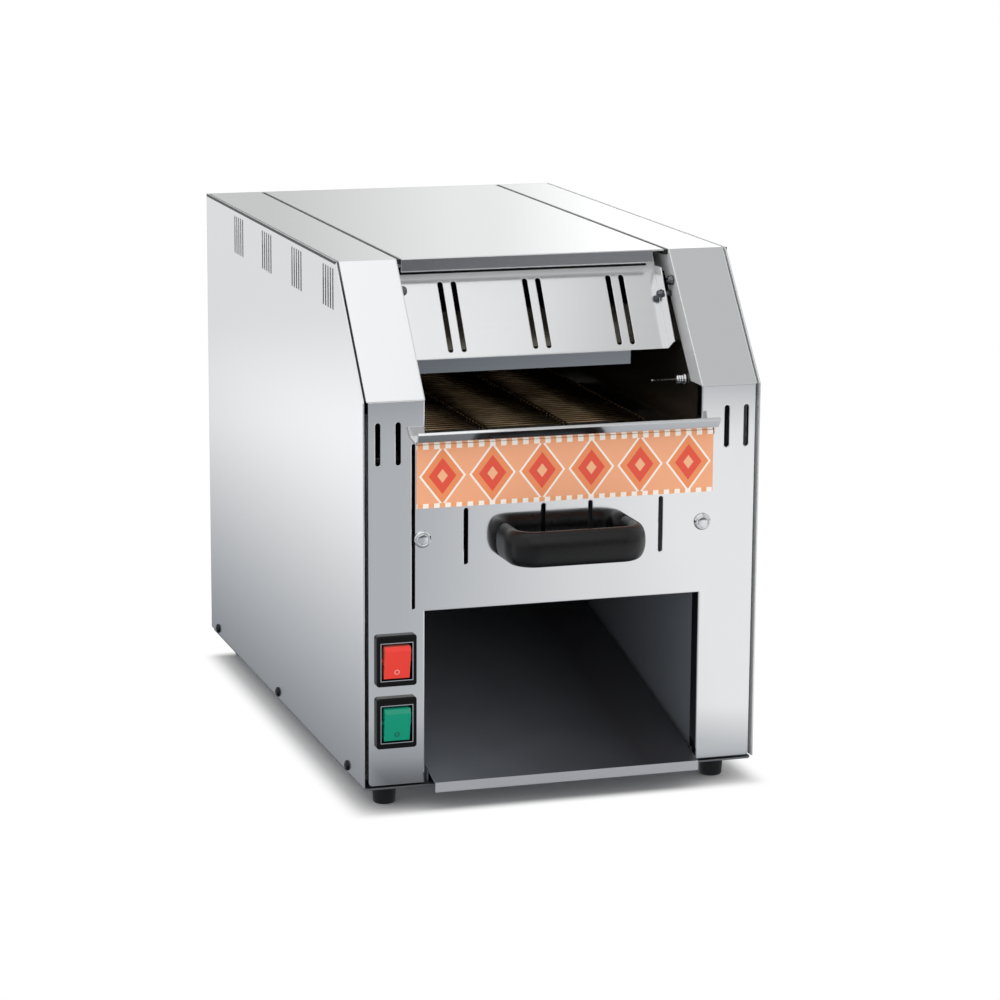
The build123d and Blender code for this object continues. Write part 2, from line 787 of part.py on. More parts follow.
side_screw_ys = [front + 43.4, front + 247.2, front + 450.9]
screw_z = casing_bottom + 3.4
with BuildPart() as side_screw_row:
    for y in side_screw_ys:
        with Locations(Plane.YZ.offset(width / 2)):
            with Locations((y, screw_z)):
                Cylinder(3.8, 2.0, align=(Align.CENTER, Align.CENTER, Align.MIN))
side_screws = Compound(
    children=[side_screw_row.part, mirror(side_screw_row.part, about=Plane.YZ)]
)
save(side_screws, "side_screws")

with BuildPart() as back_screws:
    with BuildSketch(Plane.XZ.offset(-back)):
        for x in (-134.0, 134.0):
            for z in (36.0, 200.0, 364.0):
                with Locations((x, z)):
                    RegularPolygon(4.0, 6)
    extrude(amount=-2)
save(back_screws.part, "back_screws")

with BuildPart() as handle_screws:
    with BuildSketch(Plane.XZ.offset(-front - sheet)):
        for x in (handle_x - bow_half, handle_x + bow_half):
            with Locations((x, handle_z)):
                RegularPolygon(4.5, 6)
    extrude(amount=-3)
save(handle_screws.part, "handle_screws")

# Temperature probe: a ribbed gland on the right wall with a thin stem across the mouth
probe_y = front + 36.0
probe_z = 290.0
with BuildPart() as probe:
    with BuildSketch(Plane.YZ.offset(wall_face)):
        with Locations((probe_y, probe_z)):
            RegularPolygon(4.2, 6)
    extrude(amount=-2.4)
    with BuildSketch(Plane.YZ.offset(wall_face)):
        with Locations((probe_y, probe_z)):
            Circle(3.4)
    extrude(amount=-7.5)
    with BuildSketch(Plane.YZ.offset(wall_face)):
        with Locations((probe_y, probe_z)):
            Circle(0.9)
    extrude(amount=-26)
save(probe.part, "temperature_probe")

# Terminal block beside the gland
terminal_x = -wall_out - 13
with BuildPart() as terminal_block:
    with BuildSketch(Plane.XY.offset(base_top)):
        with Locations((terminal_x, back - 62)):
            Rectangle(22, 44)
    extrude(amount=9)
    with BuildSketch(Plane.XY.offset(base_top + 9)):
        with Locations((terminal_x, back - 62)):
            Rectangle(14, 44)
    extrude(amount=8)
save(terminal_block.part, "terminal_block")

# Rubber feet
foot_x = 123.0
foot_ys = [front + 26.0, back - 26.0]
with BuildPart() as feet:
    for x in (-foot_x, foot_x):
        for y in foot_ys:
            with Locations((x, y, 0)):
                Cylinder(9.0, foot_height, align=(Align.CENTER, Align.CENTER, Align.MIN))
save(feet.part, "feet")
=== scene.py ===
import json
import math

import bpy
from mathutils import Matrix, Vector

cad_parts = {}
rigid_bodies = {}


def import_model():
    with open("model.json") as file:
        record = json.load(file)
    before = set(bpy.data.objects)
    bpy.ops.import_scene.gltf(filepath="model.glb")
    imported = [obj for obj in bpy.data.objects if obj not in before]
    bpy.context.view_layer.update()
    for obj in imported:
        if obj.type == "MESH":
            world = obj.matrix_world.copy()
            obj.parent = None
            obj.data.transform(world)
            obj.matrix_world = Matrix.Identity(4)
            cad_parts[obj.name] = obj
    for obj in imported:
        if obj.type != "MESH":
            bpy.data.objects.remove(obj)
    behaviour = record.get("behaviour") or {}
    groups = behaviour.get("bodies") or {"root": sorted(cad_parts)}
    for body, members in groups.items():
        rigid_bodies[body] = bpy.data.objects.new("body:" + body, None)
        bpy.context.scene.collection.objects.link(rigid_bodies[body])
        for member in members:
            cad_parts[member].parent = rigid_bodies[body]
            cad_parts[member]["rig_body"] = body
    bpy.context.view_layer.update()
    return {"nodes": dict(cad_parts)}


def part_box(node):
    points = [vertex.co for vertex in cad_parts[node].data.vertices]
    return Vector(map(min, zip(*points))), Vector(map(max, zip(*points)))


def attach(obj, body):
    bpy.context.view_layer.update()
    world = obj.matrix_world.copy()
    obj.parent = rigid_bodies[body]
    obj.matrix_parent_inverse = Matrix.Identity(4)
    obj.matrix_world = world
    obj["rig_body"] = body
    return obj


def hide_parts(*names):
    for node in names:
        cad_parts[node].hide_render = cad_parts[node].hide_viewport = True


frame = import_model()
nodes = frame["nodes"]
MM = 0.001


# ---------------------------------------------------------------- helpers

def linear(hex_colour):
    # an sRGB hex value as the linear colour that a shader wants
    shares = [int(hex_colour[i:i + 2], 16) / 255 for i in (1, 3, 5)]
    linear_shares = [s / 12.92 if s <= 0.04045 else ((s + 0.055) / 1.055) ** 2.4 for s in shares]
    return (*linear_shares, 1.0)


def feed(node, inputs):
    # sets a node's inputs, by name or number; each is a value, or the output that feeds it
    for name, value in inputs.items():
        socket = node.inputs[name]
        if isinstance(value, bpy.types.NodeSocket):
            node.id_data.links.new(value, socket)
        else:
            socket.default_value = value


def add(tree, kind, inputs=(), output=0, **settings):
    # adds one shader node with its settings and links, and gives back one of its outputs; the
    # inputs go by name, or are a list in the node's own order
    node = tree.nodes.new("ShaderNode" + kind)
    for name, value in settings.items():
        setattr(node, name, value)
    feed(node, inputs if isinstance(inputs, dict) else dict(enumerate(inputs)))
    return node.outputs[output]


# A Map Range node's own order is: what varies, its low and high limits, and the results there.
# A Mix node's sockets for colours go by number: the share of the second, both, and the result.
SHARE, FIRST, SECOND, MIXED = 0, 6, 7, 2
# between which of its values a fine noise, and a noise of broad patches, does its work
FINE_SPAN, BROAD_SPAN = (0.3, 0.7), (0.35, 0.7)


def start_material(name):
    # a material, its node tree and its Principled shader
    material = bpy.data.materials.new(name)
    material.use_nodes = True
    tree = material.node_tree
    return material, tree, tree.nodes["Principled BSDF"]


def position_in_mm(tree, stretch=(1.0, 1.0, 1.0)):
    # object coordinates in millimetres, stretched for a pattern with a direction
    place = add(tree, "TexCoord", output="Object")
    return add(tree, "Mapping", {"Vector": place, "Scale": [share / MM for share in stretch]})


def place_along(tree, axis):
    # the object coordinate along one axis, in metres
    return add(tree, "SeparateXYZ", [add(tree, "TexCoord", output="Object")], axis)


# ---------------------------------------------------------------- materials

def rolled_stainless(name, tone, roughness, grain_along, rounding_mm=0.8):
    # 304 stainless sheet with a satin grain along one axis: broad soft reflections, and lines
    # so faint that they only show close by; they are drawn wider than the real ones to show
    grain_width_mm, grain_length_mm = 1.0, 60.0
    material, tree, shader = start_material(name)
    stretch = [1 / grain_width_mm] * 3
    stretch["XYZ".index(grain_along)] = 1 / grain_length_mm
    lines = add(tree, "TexNoise", {
        "Vector": position_in_mm(tree, stretch), "Scale": 1.0, "Detail": 3.0, "Roughness": 0.6})
    edges = add(tree, "Bevel", {"Radius": rounding_mm * MM}, samples=6)
    feed(shader, {
        "Base Color": linear(tone),
        "Metallic": 1.0,
        "Roughness": add(tree, "MapRange", [lines, *FINE_SPAN, roughness - 0.015, roughness + 0.02]),
        "Normal": add(tree, "Bump", {
            "Height": lines, "Strength": 0.012, "Distance": 0.05 * MM, "Normal": edges}),
    })
    return material


def hood_stainless(name, tone, drop_shade_tone, roughness, fold_z, matt_z):
    # the hood's satin sheet: below the fold its turned-down front edge is painted darker, a painted
    # shade for the dim light that a forward-facing edge catches, and above matt_z, under the cover's
    # flange, it is matt
    shade_blend, half_blend = 0.6 * MM, 1.5 * MM
    material = rolled_stainless(name, tone, roughness, "X")
    tree = material.node_tree
    height = place_along(tree, "Z")
    below_fold = add(tree, "MapRange", [height, fold_z - shade_blend, fold_z, 1.0, 0.0])
    # painted shade: the turned-down edge takes the darker drop tone
    colours = {SHARE: below_fold, FIRST: linear(tone), SECOND: linear(drop_shade_tone)}
    feed(tree.nodes["Principled BSDF"], {
        "Base Color": add(tree, "Mix", colours, MIXED, data_type="RGBA"),
        "Metallic": add(tree, "MapRange", [height, matt_z - half_blend, matt_z + half_blend, 1.0, 0.0]),
    })
    return material


def polished_stainless(name, tone, roughness, waviness=0.01, rounding_mm=0.9):
    # mirror-polished stainless: clear reflections, with the slow waves of thin flat sheet
    smear_mm, wave_mm = 25.0, 70.0
    material, tree, shader = start_material(name)
    smears = add(tree, "TexNoise", {
        "Vector": position_in_mm(tree), "Scale": 1 / smear_mm, "Detail": 4.0})
    waves = add(tree, "TexNoise", {
        "Vector": position_in_mm(tree), "Scale": 1 / wave_mm, "Detail": 1.0})
    edges = add(tree, "Bevel", {"Radius": rounding_mm * MM}, samples=6)
    feed(shader, {
        "Base Color": linear(tone),
        "Metallic": 1.0,
        "Roughness": add(tree, "MapRange", [smears, *BROAD_SPAN, roughness, roughness + 0.03]),
        "Normal": add(tree, "Bump", {
            "Height": waves, "Strength": waviness, "Distance": 2 * MM, "Normal": edges}),
    })
    return material


def dull_stainless(name, tone, roughness, dullness):
    # mill-finish stainless, bare or under a thin film of crumbs and old grease: dullness is the
    # share of the light that it scatters and doesn't mirror away
    patch_mm, stain_share = 40.0, 0.9
    material, tree, shader = start_material(name)
    film = add(tree, "TexNoise", {
        "Vector": position_in_mm(tree), "Scale": 1 / patch_mm, "Detail": 4.0})
    clean = linear(tone)
    stained = [share * stain_share for share in clean[:3]] + [1.0]
    colours = {SHARE: film, FIRST: stained, SECOND: clean}
    feed(shader, {
        "Base Color": add(tree, "Mix", colours, MIXED, data_type="RGBA"),
        "Metallic": 1.0 - dullness,
        "Roughness": add(tree, "MapRange", [film, *BROAD_SPAN, roughness, roughness + 0.06]),
        "Normal": add(tree, "Bevel", {"Radius": 0.5 * MM}, samples=4),
    })
    return material


def paint_shade_along(material, axis, start, end, shade_tone):
    # paints shade onto a finish: its colour turns darker towards one end of an axis
    tree = material.node_tree
    shader = tree.nodes["Principled BSDF"]
    unshaded_colour = shader.inputs["Base Color"].links[0].from_socket
    shade_share = add(tree, "MapRange", [place_along(tree, axis), start, end, 0.0, 1.0])
    colours = {SHARE: shade_share, FIRST: unshaded_colour, SECOND: linear(shade_tone)}
    feed(shader, {"Base Color": add(tree, "Mix", colours, MIXED, data_type="RGBA")})


def heat_tinted_wire():
    # stainless wire that has been hot for years: straw and brown oxide over a satin grey
    patch_mm = 35.0
    material, tree, shader = start_material("heat_tinted_stainless_wire")
    patches = add(tree, "TexNoise", {
        "Vector": position_in_mm(tree), "Scale": 1 / patch_mm, "Detail": 5.0, "Roughness": 0.65})
    straw_share = add(tree, "MapRange", [patches, 0.35, 0.65, 0.0, 1.0])
    colours = {SHARE: straw_share, FIRST: linear("#8d7556"), SECOND: linear("#c2a988")}
    feed(shader, {
        "Base Color": add(tree, "Mix", colours, MIXED, data_type="RGBA"),
        "Metallic": 1.0,
        "Roughness": 0.32,
    })
    return material


def plain_metal(name, tone, roughness, speck_mm=1.5):
    # turned, plated or cast metal: an even grey with a fine speckled gloss
    material, tree, shader = start_material(name)
    specks = add(tree, "TexNoise", {
        "Vector": position_in_mm(tree), "Scale": 1 / speck_mm, "Detail": 3.0})
    feed(shader, {
        "Base Color": linear(tone),
        "Metallic": 1.0,
        "Roughness": add(tree, "MapRange", [specks, *FINE_SPAN, roughness - 0.06, roughness + 0.08]),
    })
    return material


def moulded_plastic(name, tone, roughness, grain_mm, depth, shine=0.5):
    # injection-moulded plastic: a faint spark-eroded grain breaks up the gloss
    material, tree, shader = start_material(name)
    grain = add(tree, "TexNoise", {
        "Vector": position_in_mm(tree), "Scale": 1 / grain_mm, "Detail": 2.0})
    feed(shader, {
        "Base Color": linear(tone),
        "IOR": 1.5,
        "Specular IOR Level": shine,
        "Roughness": add(tree, "MapRange", [grain, *FINE_SPAN, roughness - 0.03, roughness + 0.05]),
        "Normal": add(tree, "Bump", {"Height": grain, "Strength": depth, "Distance": 0.05 * MM}),
    })
    return material


def lamp_lens(name, tone, edge_highlight_tone):
    # tinted polycarbonate over a neon lamp: glossy, with a painted highlight, a paler colour towards
    # the edges that turn away from view
    material, tree, shader = start_material(name)
    # painted highlight: the paler edge colour grows where the face turns away from view
    facing = add(tree, "LayerWeight", {"Blend": 0.35}, "Facing")
    colours = {SHARE: facing, FIRST: linear(tone), SECOND: linear(edge_highlight_tone)}
    feed(shader, {
        "Base Color": add(tree, "Mix", colours, MIXED, data_type="RGBA"),
        "IOR": 1.585,
        "Roughness": 0.18,
        "Specular IOR Level": 0.3,
        "Subsurface Weight": 0.35,
        "Subsurface Radius": (4 * MM, 2 * MM, 2 * MM),
    })
    return material


def frosted_quartz():
    # satin quartz glass of a heating tube: milky, with the coil dim inside
    coil_mm = 3.0
    material, tree, shader = start_material("frosted_quartz")
    coil = add(
        tree, "TexWave",
        {"Vector": position_in_mm(tree), "Scale": 1 / coil_mm, "Distortion": 0.0}, "Fac",
        bands_direction="X")
    colours = {SHARE: coil, FIRST: linear("#8f8b86"), SECOND: linear("#c9c5be")}
    feed(shader, {
        "Base Color": add(tree, "Mix", colours, MIXED, data_type="RGBA"),
        "IOR": 1.46,
        "Roughness": 0.35,
    })
    return material


def unglazed_ceramic():
    # steatite tube holders: chalky cream with tiny pits
    pit_mm = 0.8
    material, tree, shader = start_material("unglazed_ceramic")
    pits = add(tree, "TexNoise", {
        "Vector": position_in_mm(tree), "Scale": 1 / pit_mm, "Detail": 4.0})
    colours = {SHARE: pits, FIRST: linear("#d8cfbd"), SECOND: linear("#efe9dc")}
    feed(shader, {
        "Base Color": add(tree, "Mix", colours, MIXED, data_type="RGBA"),
        "Roughness": 0.7,
    })
    return material


def printed_label():
    # gloss vinyl film printed with a plain harlequin: red and orange lozenges outlined in
    # cream, between two rows of small checks
    lozenge_pitch, check_pitch, slenderness = 36 * MM, 8 * MM, 2.1
    background, cream, check_orange = linear("#f8ae82"), linear("#fff8ef"), linear("#f6a873")
    # lozenges inside each other: how far each reaches out, and its colour
    layers = ((0.98, "#fff8ef"), (0.88, "#f4925a"), (0.58, "#ea4f36"), (0.22, "#f8b98c"))
    border_start = 0.86

    material, tree, shader = start_material("printed_vinyl_film")
    low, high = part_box("label_band")
    middle = (low + high) / 2
    half_height = (high.z - low.z) / 2
    from_middle = add(tree, "Math", [place_along(tree, "X"), middle.x], operation="SUBTRACT")
    across = add(tree, "Math", [from_middle, lozenge_pitch], operation="DIVIDE")
    across = add(tree, "Math", [across], operation="FRACT")
    across = add(tree, "Math", [across, 0.5], operation="SUBTRACT")
    across = add(tree, "Math", [across], operation="ABSOLUTE")
    rise = add(tree, "Math", [place_along(tree, "Z"), middle.z], operation="SUBTRACT")
    rise = add(tree, "Math", [rise, half_height], operation="DIVIDE")
    rise = add(tree, "Math", [rise], operation="ABSOLUTE")
    lozenge = add(tree, "Math", [across, slenderness, rise], operation="MULTIPLY_ADD")
    checks = add(tree, "Math", [from_middle, check_pitch], operation="DIVIDE")
    checks = add(tree, "Math", [checks], operation="FRACT")
    checks = add(tree, "Math", [checks, 0.5], operation="GREATER_THAN")

    design = background
    for reach, tone in layers:
        inside = add(tree, "Math", [lozenge, reach], operation="LESS_THAN")
        colours = {SHARE: inside, FIRST: design, SECOND: linear(tone)}
        design = add(tree, "Mix", colours, MIXED, data_type="RGBA")
    colours = {SHARE: checks, FIRST: cream, SECOND: check_orange}
    border = add(tree, "Mix", colours, MIXED, data_type="RGBA")
    in_border = add(tree, "Math", [rise, border_start], operation="GREATER_THAN")
    colours = {SHARE: in_border, FIRST: design, SECOND: border}
    feed(shader, {
        "Base Color": add(tree, "Mix", colours, MIXED, data_type="RGBA"),
        "IOR": 1.5,
        "Roughness": 0.28,
        "Coat Weight": 0.2,
    })
    return material


hood_low, hood_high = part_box("hood_plate")
cover_low, cover_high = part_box("top_cover")
hood_drop = 9.8 * MM  # height of the hood's turned-down front edge
cover_flange = 9.5 * MM  # height of the cover's front flange
matt_strip = 8.0 * MM  # the hood's matt strip reaches this far below that flange
cover_flange_z = cover_high.z - cover_flange

STEEL = "#e2e3e4"
satin_casing = rolled_stainless("satin_stainless_casing", STEEL, 0.19, grain_along="Z")
satin_roof = rolled_stainless("satin_stainless_roof", STEEL, 0.13, grain_along="Y", rounding_mm=1.3)
satin_hood = hood_stainless(
    "satin_stainless_hood", STEEL, drop_shade_tone="#999ea4", roughness=0.16,
    fold_z=hood_low.z + hood_drop, matt_z=cover_flange_z - matt_strip)
mirror_front = polished_stainless("mirror_stainless_front", STEEL, 0.07)
tunnel_steel = dull_stainless("dull_tunnel_steel", "#adb4bd", 0.14, dullness=0.46)
# painted shade: the tunnel walls turn darker above the belt, for the dim tunnel under the hood
paint_shade_along(tunnel_steel, "Z", start=190 * MM, end=210 * MM, shade_tone="#3c3833")
chute_steel = dull_stainless("dull_chute_steel", "#aab0bb", 0.36, dullness=0.25)
# painted shade: the chute turns darker towards the right, as the light falls off there
paint_shade_along(chute_steel, "X", start=-85 * MM, end=60 * MM, shade_tone="#55555b")
fold_steel = dull_stainless("matt_inner_folds", "#f0f1f2", 0.3, dullness=0.9)
lip_steel = dull_stainless("matt_chute_lip", "#b6b8bd", 0.3, dullness=0.8)
reflector_steel = dull_stainless("heat_stained_reflector_steel", "#9c9488", 0.25, dullness=0.1)
frame_steel = dull_stainless("dull_frame_steel", "#8d9094", 0.35, dullness=0.1)
wire_metal = heat_tinted_wire()
shaft_metal = plain_metal("turned_shaft_steel", "#b8b4aa", 0.25)
zinc_metal = plain_metal("bright_zinc_plate", "#b9bcbf", 0.32)
bolt_metal = plain_metal("dark_zinc_bolts", "#6a6c70", 0.22)
dark_screws = plain_metal("blackened_screw_steel", "#2c2d30", 0.16)
screw_metal = polished_stainless("polished_screw_steel", "#d8dadc", 0.08, waviness=0.0, rounding_mm=0.2)
black_nylon = moulded_plastic("black_nylon", "#17171a", 0.5, grain_mm=0.8, depth=0.2)
black_phenolic = moulded_plastic(
    "gloss_black_phenolic", "#050507", 0.3, grain_mm=2.0, depth=0.02, shine=0.35)
switch_plastic = moulded_plastic(
    "satin_black_polyamide", "#050506", 0.25, grain_mm=0.7, depth=0.03, shine=0.2)
motor_paint = moulded_plastic("black_motor_paint", "#1a1a1c", 0.4, grain_mm=1.2, depth=0.1)
foot_rubber = moulded_plastic("black_foot_rubber", "#08080a", 0.45, grain_mm=0.9, depth=0.2)
red_lens = lamp_lens("red_polycarbonate_lens", "#ee3226", edge_highlight_tone="#ff8a78")
green_lens = lamp_lens("green_polycarbonate_lens", "#009374", edge_highlight_tone="#2fc7a6")
clear_rim = plain_metal("metallised_lens_rim", "#c9ccd2", 0.2)
pale_mark = moulded_plastic("pale_mark_print", "#f3b3aa", 0.4, grain_mm=0.5, depth=0.02)
dark_mark = moulded_plastic("dark_mark_print", "#064a3a", 0.4, grain_mm=0.5, depth=0.02)
label_print = printed_label()
quartz = frosted_quartz()
ceramic = unglazed_ceramic()

finishes = {
    satin_casing: ["side_panel_left", "side_panel_right", "back_panel"],
    satin_roof: ["roof_strip_left", "roof_strip_right", "top_cover"],
    satin_hood: ["hood_plate"],
    mirror_front: ["front_plate"],
    tunnel_steel: ["tunnel_wall_left", "tunnel_wall_right"],
    chute_steel: ["chute"],
    reflector_steel: ["upper_reflector", "lower_reflector", "back_deflector"],
    frame_steel: [
        "base_plate", "base_angle_left", "base_angle_right", "chute_rails", "motor_bracket",
        "shaft_bushes",
    ],
    wire_metal: ["belt_wires", "belt_links"],
    shaft_metal: ["drive_shaft", "drive_wheels", "idler_shaft", "idler_wheels"],
    zinc_metal: ["shaft_sprocket", "motor_sprocket", "drive_chain", "handle_screws"],
    bolt_metal: ["hood_bolts", "strip_screws"],
    dark_screws: ["side_screws"],
    screw_metal: ["front_screws", "back_screws", "temperature_probe"],
    black_nylon: ["cable_gland", "terminal_block"],
    black_phenolic: ["handle"],
    switch_plastic: ["red_switch_frame", "green_switch_frame"],
    motor_paint: ["gear_motor"],
    foot_rubber: ["feet"],
    red_lens: ["red_rocker"],
    green_lens: ["green_rocker"],
    label_print: ["label_band"],
    quartz: ["upper_tubes", "lower_tubes"],
    ceramic: ["tube_holders"],
}
for material, names in finishes.items():
    for name in names:
        nodes[name].data.materials.clear()
        nodes[name].data.materials.append(material)


def second_finish(name, material, wanted):
    # another finish on the faces whose middle and direction pass a test
    mesh = nodes[name].data
    mesh.materials.append(material)
    for face in mesh.polygons:
        if wanted(face.center, face.normal):
            face.material_index = len(mesh.materials) - 1


# the sheet's inner faces, seen at folds and edges, and the chute's lip were never polished:
# matt mill finish
square_on = 0.9  # how much of a face's direction has to lie along an axis
flange_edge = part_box("roof_strip_right")[0].x + 0.1 * MM  # just past the inner flange's face
cover_front = cover_low.y + 3 * MM
chute_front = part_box("chute")[0].y + 1.5 * MM
for side, word in ((-1, "left"), (1, "right")):
    second_finish(
        f"roof_strip_{word}", fold_steel,
        lambda centre, normal: abs(centre.x) < flange_edge and side * normal.x < -square_on)
    second_finish(
        f"side_panel_{word}", fold_steel, lambda centre, normal: side * normal.x < -square_on)
second_finish(
    "top_cover", fold_steel,
    lambda centre, normal: centre.y < cover_front and normal.y > square_on)
second_finish(
    "chute", lip_steel, lambda centre, normal: centre.y < chute_front and normal.y < -square_on)


# ---------------------------------------------------------------- mesh building

def body_of(node):
    return nodes[node]["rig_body"]


def make_piece(name, points, faces, material, body, smooth=True):
    # a mesh object from points in metres, riding on a CAD body
    mesh = bpy.data.meshes.new(name)
    mesh.from_pydata([tuple(p) for p in points], [], faces)
    mesh.update()
    piece = bpy.data.objects.new(name, mesh)
    bpy.context.scene.collection.objects.link(piece)
    mesh.materials.append(material)
    for face in mesh.polygons:
        face.use_smooth = smooth
    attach(piece, body)
    return piece


def round_ways(first_way, second_way, steps):
    # directions evenly spread round the circle that two directions span
    for step in range(steps):
        angle = 2 * math.pi * step / steps
        yield math.cos(angle) * first_way + math.sin(angle) * second_way


def skin_rings(faces, base, rings, sides):
    # adds the faces between rings of points that follow each other, and closes both ends
    for ring in range(rings - 1):
        for step in range(sides):
            corner = base + ring * sides + step
            beside = base + ring * sides + (step + 1) % sides
            faces.append((corner, beside, beside + sides, corner + sides))
    faces.append(tuple(reversed(range(base, base + sides))))
    last = base + (rings - 1) * sides
    faces.append(tuple(range(last, last + sides)))


def tube(points, faces, path, radius, sides):
    # adds a round wire along a path to the lists, with closed ends
    base = len(points)
    side_way = None
    for index, spot in enumerate(path):
        before = path[max(index - 1, 0)]
        after = path[min(index + 1, len(path) - 1)]
        forward = (after - before).normalized()
        if side_way is None:
            side_way = forward.orthogonal().normalized()
        side_way = (side_way - forward * side_way.dot(forward)).normalized()
        for way in round_ways(side_way, forward.cross(side_way), sides):
            points.append(spot + radius * way)
    skin_rings(faces, base, len(path), sides)


def turned(points, faces, centre, axis, profile, steps=40):
    # adds a turned form to the lists: (radius, height) pairs in mm about an axis
    axis = Vector(axis).normalized()
    side_way = axis.orthogonal().normalized()
    base = len(points)
    for radius, height in profile:
        for way in round_ways(side_way, axis.cross(side_way), steps):
            points.append(Vector(centre) + axis * height * MM + way * radius * MM)
    skin_rings(faces, base, len(profile), steps)


def turned_set(name, node, centres, profile, material):
    # one turned form at each centre, in the place of a CAD node
    points, faces = [], []
    for centre, axis in centres:
        turned(points, faces, centre, axis, profile)
    piece = make_piece(name, points, faces, material, body_of(node))
    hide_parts(node)


# ---------------------------------------------------------------- wire belt

belt_low, belt_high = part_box("belt_wires")
wire_radius = 0.8 * MM
strand_radius = 0.92 * wire_radius  # thinner, for play in the hooks
turn_radius = (belt_high.z - belt_low.z) / 2 - wire_radius
axle_z = (belt_high.z + belt_low.z) / 2
axle_front = belt_low.y + turn_radius + wire_radius
axle_back = belt_high.y - turn_radius - wire_radius
belt_run = axle_back - axle_front
half_turn = math.pi * turn_radius
strands_round_axle = 16
belt_pitch = 2 * half_turn / strands_round_axle
strand_count = round((2 * belt_run + 2 * half_turn) / belt_pitch)
hook_rows = [-91.5 * MM, -30.5 * MM, 30.5 * MM, 91.5 * MM]
# a hook's bends: across in mm, forward in pitches, and off the belt in wire radii
hook = [(-2.9, 0.0, 0.0), (-2.1, 0.35, 0.2), (-1.5, 1.0, 0.55), (0.0, 1.16, 0.1),
        (1.5, 1.0, -0.35), (2.1, 0.35, -0.2), (2.9, 0.0, 0.0)]


def belt_point(x, along, out):
    # a place on the belt: across it, along its loop from the front of the top run, and off it
    along %= 2 * belt_run + 2 * half_turn
    radius = turn_radius + out
    if along < belt_run:
        return Vector((x, axle_front + along, axle_z + radius))
    along -= belt_run
    if along < half_turn:
        angle = math.pi / 2 - along / turn_radius
        return Vector((x, axle_back + radius * math.cos(angle), axle_z + radius * math.sin(angle)))
    along -= half_turn
    if along < belt_run:
        return Vector((x, axle_back - along, axle_z - radius))
    along -= belt_run
    angle = -math.pi / 2 - along / turn_radius
    return Vector((x, axle_front + radius * math.cos(angle), axle_z + radius * math.sin(angle)))


def build_belt():
    # every strand is one wire with a hook at each row that holds the next strand; at the
    # belt's edges it ends inside the hook
    bends_in_row = [hook[2:], hook, hook, hook[:5]]
    points, faces = [], []
    for strand in range(strand_count):
        start = strand * belt_pitch
        path = []
        for x, bends in zip(hook_rows, bends_in_row):
            for across, reach, lift in bends:
                path.append(belt_point(x + across * MM, start + reach * belt_pitch, lift * wire_radius))
        tube(points, faces, path, strand_radius, sides=8)
    belt = make_piece("belt_strands", points, faces, wire_metal, "casing")
    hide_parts("belt_wires", "belt_links")


build_belt()


# ---------------------------------------------------------------- screws, probe and feet

def build_front_screws():
    # polished domes with a ring groove, one at each side of the handle
    dome_radius = 6.2
    profile = [
        (dome_radius, 0.0), (dome_radius, 0.5), (6.0, 1.1), (5.5, 1.7), (4.9, 2.05), (4.3, 2.1),
        (4.0, 1.8), (3.8, 1.7), (3.6, 1.9), (3.2, 2.0), (0.5, 2.05)]
    low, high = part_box("front_screws")
    centres = [
        ((x, high.y, (low.z + high.z) / 2), (0, -1, 0))
        for x in (low.x + dome_radius * MM, high.x - dome_radius * MM)]
    turned_set("front_dome_screws", "front_screws", centres, profile, screw_metal)


def build_side_screws():
    # button heads with a socket, in a row along both sides
    screws_in_row, head_height = 3, 2.0
    profile = [
        (3.8, 0.0), (3.8, 0.4), (3.6, 1.1), (3.0, 1.65), (2.2, 1.95), (1.4, head_height),
        (1.25, 1.9), (1.25, 0.8)]
    low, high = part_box("side_screws")
    head_radius = (high.z - low.z) / 2
    first, last = low.y + head_radius, high.y - head_radius
    z = (low.z + high.z) / 2
    centres = []
    for step in range(screws_in_row):
        y = first + (last - first) * step / (screws_in_row - 1)
        centres.append(((low.x + head_height * MM, y, z), (-1, 0, 0)))
        centres.append(((high.x - head_height * MM, y, z), (1, 0, 0)))
    turned_set("side_button_screws", "side_screws", centres, profile, dark_screws)


def build_strip_screws():
    # small domes with a socket, on the inner flanges of the roof strips
    profile = [
        (3.6, 0.0), (3.6, 1.4), (3.4, 2.6), (2.9, 3.6), (2.2, 4.3), (1.7, 4.4), (1.6, 3.0), (0.4, 3.0)]
    low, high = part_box("strip_screws")
    middle = (low + high) / 2
    centres = [((side * high.x, middle.y, middle.z), (-side, 0, 0)) for side in (-1, 1)]
    turned_set("strip_dome_screws", "strip_screws", centres, profile, bolt_metal)


def build_hood_bolts():
    # a spacer from the roof strip's flange to the hood, and a domed nut inside the hood
    spacer_radius, spacer_play, sheet = 2.2, 0.1, 1.0
    low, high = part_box("hood_bolts")
    middle = (low + high) / 2
    points, faces = [], []
    for outside, inwards, nut_length in ((hood_low.x, 1, 1.6), (hood_high.x, -1, 3.6)):
        spacer_length = (flange_edge - abs(outside)) / MM - spacer_play
        spacer = [(spacer_radius, 0.0), (spacer_radius, spacer_length)]
        turned(points, faces, (outside, middle.y, middle.z), (-inwards, 0, 0), spacer)
        nut = [
            (3.2, 0.0), (3.2, 0.5), (2.6, 0.6), (2.6, nut_length * 0.55), (2.1, nut_length * 0.8),
            (1.2, nut_length * 0.96), (0.4, nut_length)]
        nut_root = (outside + inwards * sheet * MM, middle.y, middle.z)
        turned(points, faces, nut_root, (inwards, 0, 0), nut)
    bolts = make_piece(
        "hood_dome_bolts", points, faces, bolt_metal, body_of("hood_bolts"))
    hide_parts("hood_bolts")


